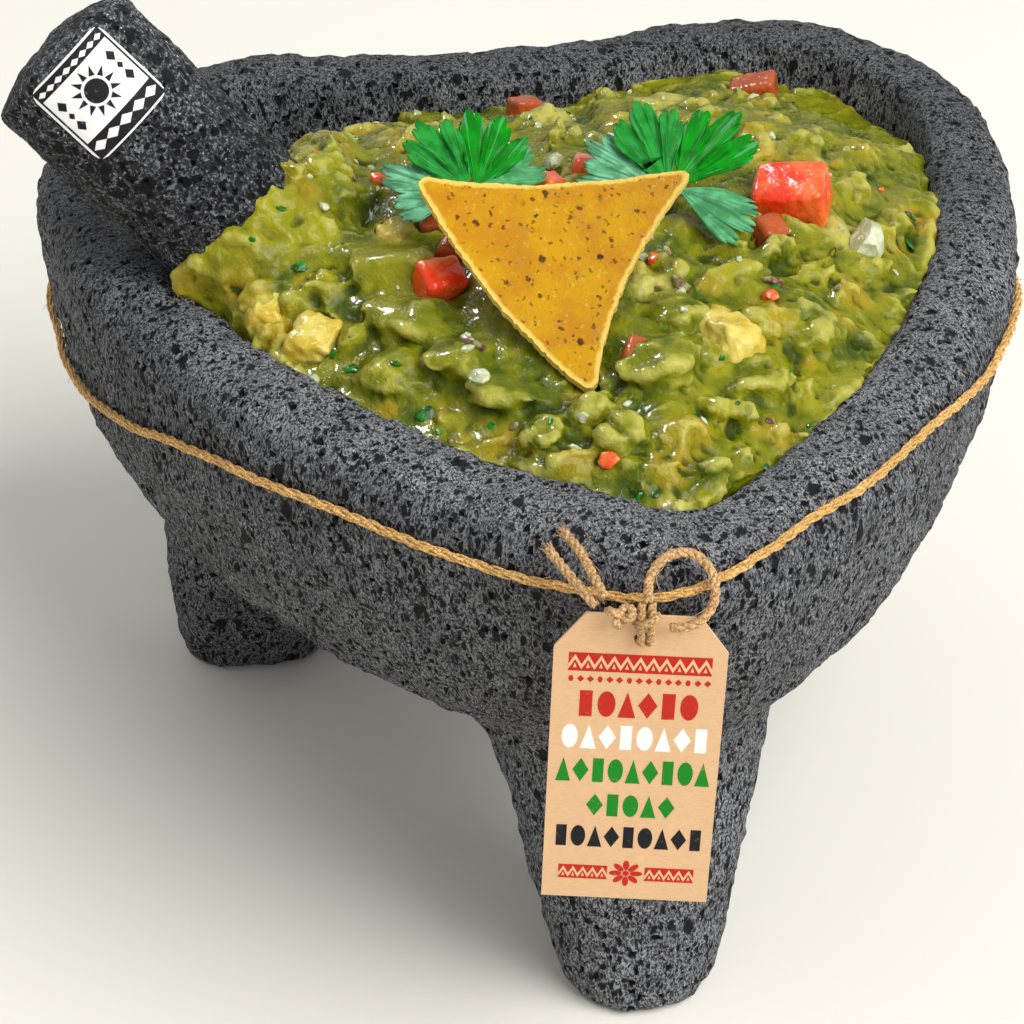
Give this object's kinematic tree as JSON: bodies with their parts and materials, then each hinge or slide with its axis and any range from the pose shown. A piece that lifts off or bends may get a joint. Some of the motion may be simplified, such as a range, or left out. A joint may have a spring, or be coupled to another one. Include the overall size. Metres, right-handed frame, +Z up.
{
  "type": "guacamole in a stone mortar",
  "caption": "Heaped guacamole with a tortilla chip, coriander and diced tomato in a heart-shaped three-legged volcanic-stone mortar, with its pestle, a twine band and a hang tag.",
  "frame": {"origin": "under the middle of the object's bounding box, without the tag's loose string, on the plane its three feet stand on", "axes": "+Z up; -Y towards the heart's tip, where the tag hangs; +X to the right of someone who faces the tip"},
  "size_m": [0.226, 0.233, 0.1955],
  "materials": {
    "stone": "rough open-pored dark grey volcanic stone",
    "pestle_stone": "rough open-pored volcanic stone, a little darker than the bowl",
    "sticker": "smooth printed label, white with a plain black design",
    "chip": null,
    "guacamole": null,
    "tomato": null,
    "avocado": null,
    "leaf": null,
    "twine": "twisted plant-fibre twine",
    "string": "twisted plant-fibre string",
    "kraft": "smooth light-brown kraft card with printed bands"
  },
  "bodies": {
    "root": {"molcajete_bowl": "stone", "tejolote_pestle": "pestle_stone", "pestle_sticker": "sticker", "tortilla_chip": "chip", "guacamole": "guacamole", "twine_band": "twine", "hang_tag": "kraft", "coriander_sprig_left": "leaf", "coriander_sprig_right": "leaf", "string_ring": "string", "string_hitch": "string", "string_knot": "string", "string_tail_upper": "string", "string_tail_lower": "string", "tomato_dice_01": "tomato", "tomato_dice_02": "tomato", "tomato_dice_03": "tomato", "tomato_dice_04": "tomato", "tomato_dice_05": "tomato", "tomato_dice_06": "tomato", "tomato_dice_07": "tomato", "tomato_dice_08": "tomato", "tomato_dice_09": "tomato", "tomato_dice_10": "tomato", "avocado_chunk_1": "avocado", "avocado_chunk_2": "avocado", "avocado_chunk_3": "avocado", "avocado_chunk_4": "avocado"}
  },
  "joints": []
}
